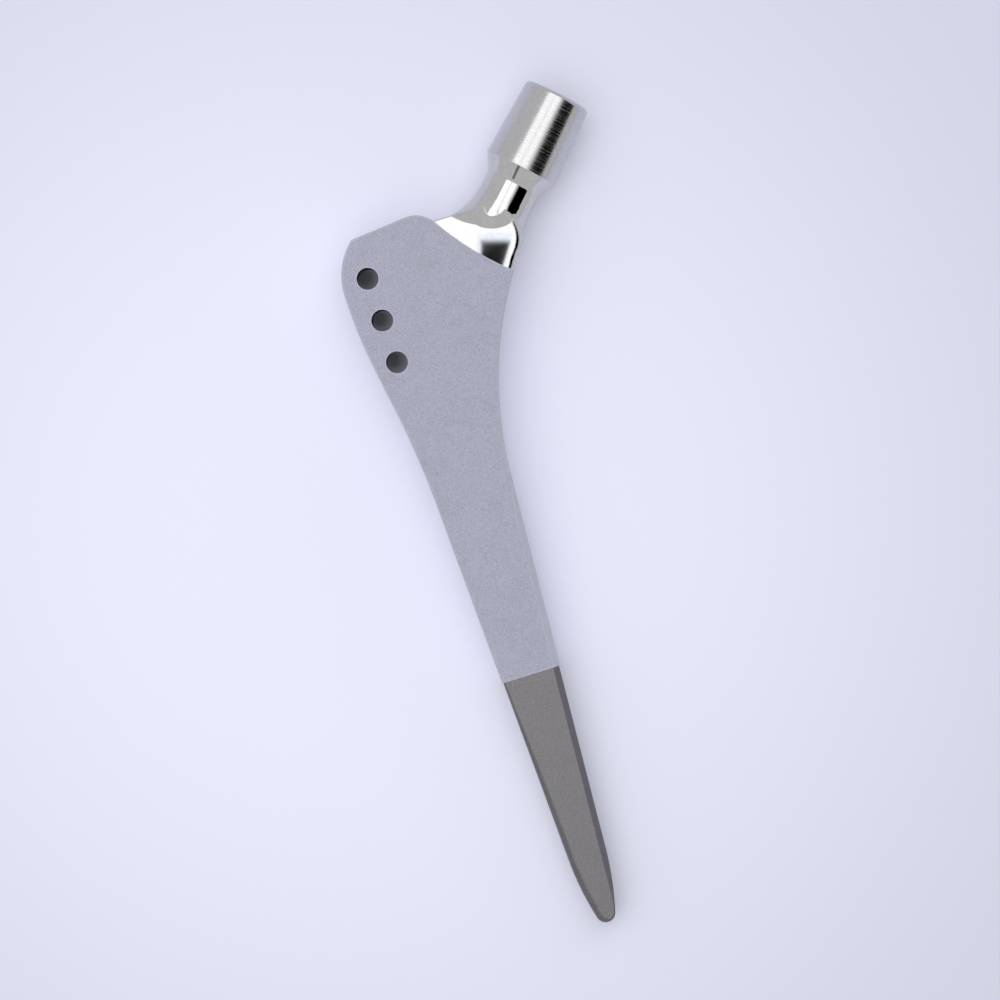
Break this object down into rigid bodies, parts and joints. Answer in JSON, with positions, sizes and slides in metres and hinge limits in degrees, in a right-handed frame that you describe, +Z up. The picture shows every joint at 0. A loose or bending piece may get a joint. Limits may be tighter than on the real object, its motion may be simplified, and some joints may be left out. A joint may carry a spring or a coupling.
{
  "type": "hip implant stem",
  "caption": "Straight tapered hip stem with a coated, winged blade pierced by a row of holes, a polished neck and a turned cone for a ball head.",
  "frame": {"origin": "centre of the large end of the head taper", "axes": "+Y along the blade, from its tip towards its shoulder; +X towards the side that the neck leans to; +Z up, away from the flat side it lies on"},
  "size_m": [0.0524, 0.1519, 0.0145],
  "materials": {
    "coating": "fine grained plasma-sprayed titanium, matt",
    "polished": "mirror polished titanium alloy",
    "machined": "fine turned titanium alloy",
    "blasted": "blasted titanium alloy, matt"
  },
  "bodies": {
    "root": {"stem": "coating"}
  },
  "joints": []
}
